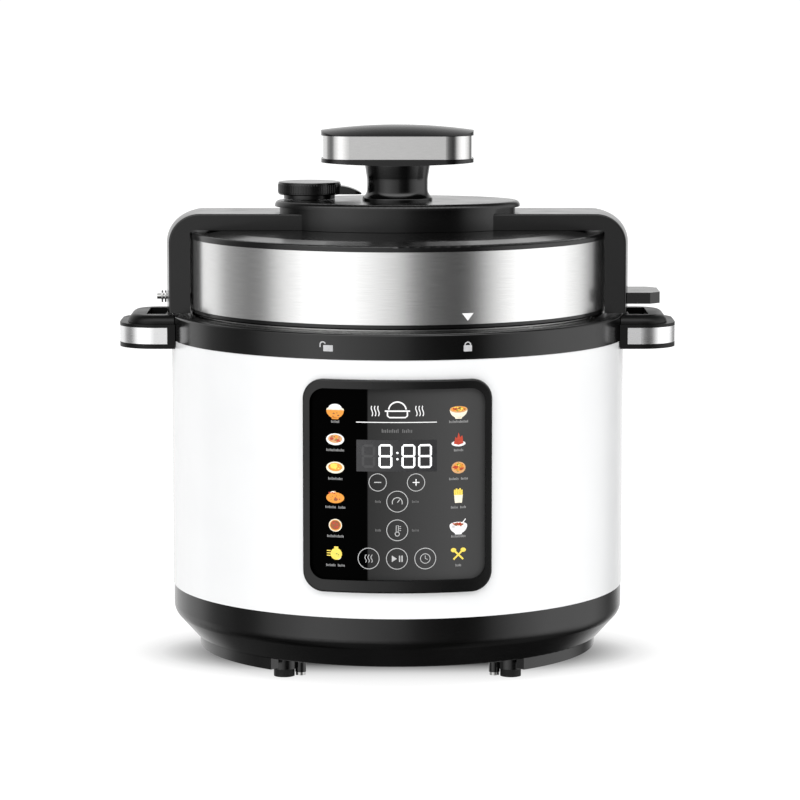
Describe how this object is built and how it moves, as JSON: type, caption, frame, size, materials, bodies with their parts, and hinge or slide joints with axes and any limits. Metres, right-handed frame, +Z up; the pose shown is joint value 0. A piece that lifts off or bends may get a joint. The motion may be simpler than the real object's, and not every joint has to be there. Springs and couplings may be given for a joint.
{
  "type": "electric pressure cooker",
  "caption": "Round electric pressure cooker with a turn-and-lift lid under an arched handle, a touch panel, side handles, steam valve and removable pot.",
  "frame": {"origin": "on the standing surface, on the axis of the pot", "axes": "+Z up, +X to the user's right, -Y towards the user, where the control panel is"},
  "size_m": [0.3526, 0.2989, 0.34],
  "materials": {
    "shell_white": "gloss white paint",
    "black_gloss": "black, satin gloss",
    "black_satin": "black, fine satin texture",
    "panel_black": "black touch panel, polished",
    "band_steel": "brushed around the band",
    "knob_steel": "fine brushed",
    "trim_chrome": "polished",
    "plate_steel": "satin stamped steel",
    "pot_metal": "spun, satin",
    "pot_coating": "non-stick coating, speckled",
    "zinc_sheet": "zinc-plated sheet",
    "hardware": "zinc plated",
    "feet_rubber": "matt",
    "silicone": "translucent grey silicone",
    "board_green": "solder mask",
    "part_black": "moulded component housings",
    "contact_brass": "plated",
    "cup_clear": "smoky clear plastic"
  },
  "bodies": {
    "base": {"base_cover": "black_gloss", "rubber_foot_1": "feet_rubber", "rubber_foot_2": "feet_rubber", "rubber_foot_3": "feet_rubber", "rubber_foot_4": "feet_rubber", "base_screws": "hardware", "outer_shell": "shell_white", "collar": "black_gloss", "handle_right": "black_gloss", "handle_left": "black_gloss", "handle_trim_right": "trim_chrome", "handle_trim_left": "trim_chrome", "handle_screws": "hardware", "outer_pot": "pot_metal", "inner_pot": "pot_coating", "heating_plate": "pot_metal", "pot_posts": "zinc_sheet", "heat_shield": "zinc_sheet", "sensor_holder": "zinc_sheet", "sensor_spring": "hardware", "leaf_spring": "zinc_sheet", "pressure_switch": "part_black", "power_board": "board_green", "power_parts": "part_black", "power_inlet": "black_satin", "inlet_blades": "contact_brass", "cup_holder": "black_satin", "panel_frame": "black_gloss", "touch_panel": "panel_black", "display": "part_black", "control_board": "board_green", "lid_switch": "part_black"},
    "lock_follower": {"lock_follower": "black_satin"},
    "lid": {"pressure_plate": "plate_steel", "gasket": "silicone", "inner_plate": "plate_steel", "inner_plate_nut": "black_satin", "lid_cover": "black_gloss", "steel_band": "band_steel", "lower_rim": "black_gloss", "upper_rim": "black_gloss", "lid_handle": "black_gloss", "hub_cap": "black_gloss", "knob_stem": "black_gloss", "knob_body": "black_gloss", "knob_band": "knob_steel", "knob_cap": "black_gloss", "knob_screw": "hardware", "lid_screws": "hardware", "steam_pipe": "hardware", "pipe_nut": "hardware", "steam_guard": "plate_steel", "pin_spring": "hardware"},
    "steam_valve": {"steam_valve": "black_gloss"},
    "float_valve": {"float_valve": "hardware", "float_seal": "silicone"},
    "interlock_pin": {"interlock_pin": "hardware", "pin_washers": "hardware"},
    "temperature_sensor": {"temperature_sensor": "pot_metal"},
    "condensation_cup": {"condensation_cup": "cup_clear"}
  },
  "joints": [
    {"name": "lid_turn", "type": "hinge", "parent": "base", "child": "lock_follower", "pos_m": [0, 0, 0.21], "axis": [0, 0, 1], "range_deg": [-35, 0]},
    {"name": "lid_lift", "type": "slide", "parent": "lock_follower", "child": "lid", "axis": [0, 0, 1], "range_m": [0, 0.15]},
    {"name": "steam_valve_turn", "type": "hinge", "parent": "lid", "child": "steam_valve", "pos_m": [-0.0563, 0.0115, 0.295], "axis": [0, 0, 1], "range_deg": [0, 45]},
    {"name": "float_valve_rise", "type": "slide", "parent": "lid", "child": "float_valve", "axis": [0, 0, 1], "range_m": [0, 0.004]},
    {"name": "interlock_pin_pull", "type": "slide", "parent": "lid", "child": "interlock_pin", "axis": [-1, 0, 0], "range_m": [0, 0.003], "stiffness_N_per_m": 200, "springref_m": -0.002, "deforming": ["pin_spring"]},
    {"name": "sensor_press", "type": "slide", "parent": "base", "child": "temperature_sensor", "axis": [0, 0, 1], "range_m": [-0.0015, 0], "stiffness_N_per_m": 300, "springref_m": 0.003, "deforming": ["sensor_spring"]},
    {"name": "cup_pull", "type": "slide", "parent": "base", "child": "condensation_cup", "axis": [0, 1, 0], "range_m": [0, 0.03]}
  ]
}
